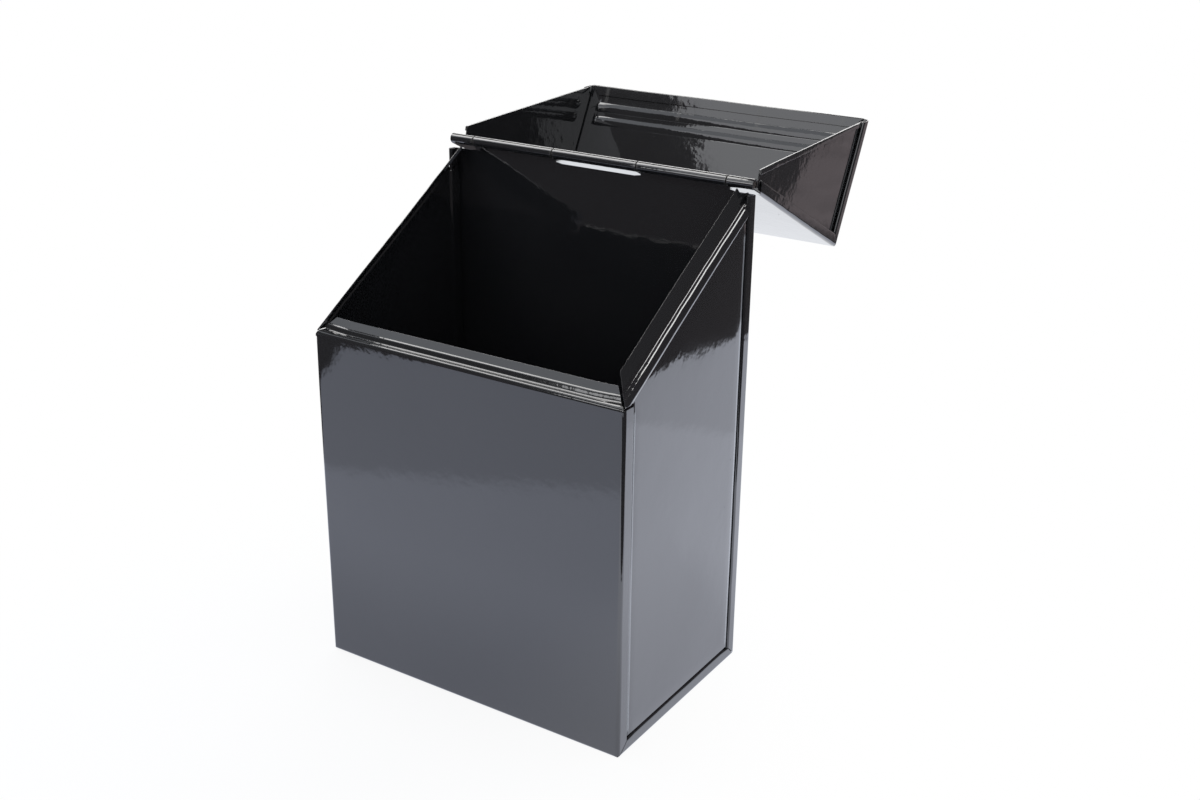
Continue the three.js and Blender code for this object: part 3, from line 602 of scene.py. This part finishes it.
# ---------------------------------------------------------------------------------------------
# Hinge wire: plain drawn steel, cropped to length and pushed through the knuckles from one end,
# then enamelled with the rest, so only its cropped ends show and they are thinly covered.
# ---------------------------------------------------------------------------------------------
WIRE_FACETS = 40
WIRE_CHAMFER, WIRE_CHAMFER_SEGMENTS = 0.00022, 3
STREAK_SCALE, STREAK_HEIGHT = (60.0, 2600.0, 2600.0), 0.00001
STREAK_RANGE, STREAK_ROUGHNESS = (0.3, 0.7), (0.16, 0.38)
BARE_SCALE, BARE_RANGE = 900.0, (0.42, 0.60)
COVERED_TONE, BARE_TONE = (0.014, 0.014, 0.016, 1.0), (0.20, 0.17, 0.15, 1.0)
BARE_METALLIC = 0.9

wire_finish = bpy.data.materials.new("hinge_wire_finish")
tree = nodes_of(wire_finish)
spot = add(tree, "ShaderNodeTexCoord").outputs["Object"]
drawn = add(tree, "ShaderNodeMapping", {"Vector": spot, "Scale": STREAK_SCALE})
streaks = add(tree, "ShaderNodeTexNoise", {"Vector": drawn.outputs[0], "Scale": 1.0,
                                           "Detail": 3.0})
patches = add(tree, "ShaderNodeTexNoise", {"Vector": spot, "Scale": BARE_SCALE, "Detail": 3.0})
bare = ramp(tree, patches.outputs[0], *BARE_RANGE, 0.0, 1.0)
bump = add(tree, "ShaderNodeBump", {"Strength": 0.5, "Distance": STREAK_HEIGHT,
                                    "Height": streaks.outputs[0]})
shader = add(tree, "ShaderNodeBsdfPrincipled", {
    "Base Color": blend_colours(tree, bare, COVERED_TONE, BARE_TONE),
    "Metallic": calc(tree, "MULTIPLY", bare, BARE_METALLIC),
    "Roughness": ramp(tree, streaks.outputs[0], *STREAK_RANGE, *STREAK_ROUGHNESS),
    "Normal": bump.outputs[0]})
add(tree, "ShaderNodeOutputMaterial", {"Surface": shader.outputs[0]})

tree, given = new_group("hinge_wire", Start="Vector", End="Vector", Radius="Float", Facets="Int")
line = add(tree, "GeometryNodeCurvePrimitiveLine", {"Start": given["Start"], "End": given["End"]})
ring = add(tree, "GeometryNodeCurvePrimitiveCircle", {"Resolution": given["Facets"],
                                                      "Radius": given["Radius"]})
swept = add(tree, "GeometryNodeCurveToMesh", {"Curve": line.outputs[0],
                                              "Profile Curve": ring.outputs[0], "Fill Caps": True})
end_group(tree, swept.outputs[0], wire_finish)

wire_low, wire_high = (Vector(corner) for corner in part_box("hinge_pin"))
wire_axis = (wire_low + wire_high) / 2
wire = bpy.data.objects.new("hinge_wire_drawn", bpy.data.meshes.new("hinge_wire_drawn"))
bpy.context.scene.collection.objects.link(wire)
run_group(wire, "drawing", tree, Start=(wire_low.x, wire_axis.y, wire_axis.z),
          End=(wire_high.x, wire_axis.y, wire_axis.z), Radius=(wire_high.z - wire_low.z) / 2,
          Facets=WIRE_FACETS)
round_edges(wire, "cropped_ends", WIRE_CHAMFER, WIRE_CHAMFER_SEGMENTS)
settled(wire).shade_smooth()
even_shading(wire)
settled(wire)
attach(wire, "box")
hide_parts("hinge_pin")

# ---------------------------------------------------------------------------------------------
# Lid wrapper: one sheet bent over the front, hemmed below, with two beads pressed across its
# front, folded edges that grip the cheeks, and its rear rolled into knuckles on the same wire.
# ---------------------------------------------------------------------------------------------
LID_CALM = (0.054, 0.075)
LID_SIDE_SEED, LID_TOP_SEED, LID_FRONT_SEED = 23.0, 31.0, 37.0


def lid_wander(spot):
    """The lid's sheets wander like the box's, but stay true at the knuckles."""
    x, y, z = spot
    outward = math.copysign(1.0, x)
    side = outward * rise(abs(x), *SIDE_BAND)
    return rise(y, *LID_CALM) * Vector((
        side * wave(y, z, LID_SIDE_SEED + outward),
        0.0,
        wave(x, y, LID_TOP_SEED) + wave(x, z, LID_FRONT_SEED),
    ))


# The lid's front leans as it hangs open. Its inner and outer faces and the beads' centre are
# places along INWARD, and the beads' centre lines are places along UPWARD.
LID_LEAN = math.radians(27.1)
INWARD = Vector((0.0, -math.cos(LID_LEAN), math.sin(LID_LEAN)))
UPWARD = Vector((0.0, math.sin(LID_LEAN), math.cos(LID_LEAN)))
LID_FACES = (-0.03751, -0.03801)
BEAD_RADII, BEAD_CENTRE = (0.0030, 0.0025), -0.03931
BEAD_LINES = (0.25053, 0.25733)
BEAD_STRAIGHT, BEAD_END = 0.0656, (0.0648, 0.0664)
BEAD_SLACK = 0.00012
# The share of the tool's depth that the beads have, and what their ends have beyond that.
BEAD_SHARE, BEAD_END_SHARE = 0.15, 0.50


def lid_wrapper_wander(spot):
    """The press didn't quite bottom, so the two beads stand lower than the tool is deep."""
    shift = lid_wander(spot)
    up, inward = spot.dot(UPWARD), spot.dot(INWARD)
    share = BEAD_SHARE + BEAD_END_SHARE * rise(abs(spot.x), *BEAD_END)
    for line in BEAD_LINES:
        off = math.hypot(up - line, max(abs(spot.x) - BEAD_STRAIGHT, 0.0))
        for face, radius in zip(LID_FACES, BEAD_RADII):
            bead = BEAD_CENTRE + math.sqrt(max(radius**2 - off**2, 0.0))
            if bead > face and abs(inward - bead) < BEAD_SLACK:
                shift -= INWARD * (bead - face) * (1.0 - share)
    return shift


lid = finished_sheet("lid_wrapper", "lid_wrapper_enamelled", enamel, lid_wrapper_wander, seed=21)
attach(lid, "lid")
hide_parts("lid_wrapper")

# ---------------------------------------------------------------------------------------------
# Lid cheeks: a triangle of sheet closes each end of the lid, hooked into the lid's folded edges
# and hemmed outwards along the rim.
# ---------------------------------------------------------------------------------------------
for seed, side in enumerate(("left", "right"), start=31):
    cheek = finished_sheet("lid_cheek_" + side, "lid_cheek_%s_enamelled" % side, enamel,
                           lid_wander, seed=seed)
    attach(cheek, "lid")
    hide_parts("lid_cheek_" + side)
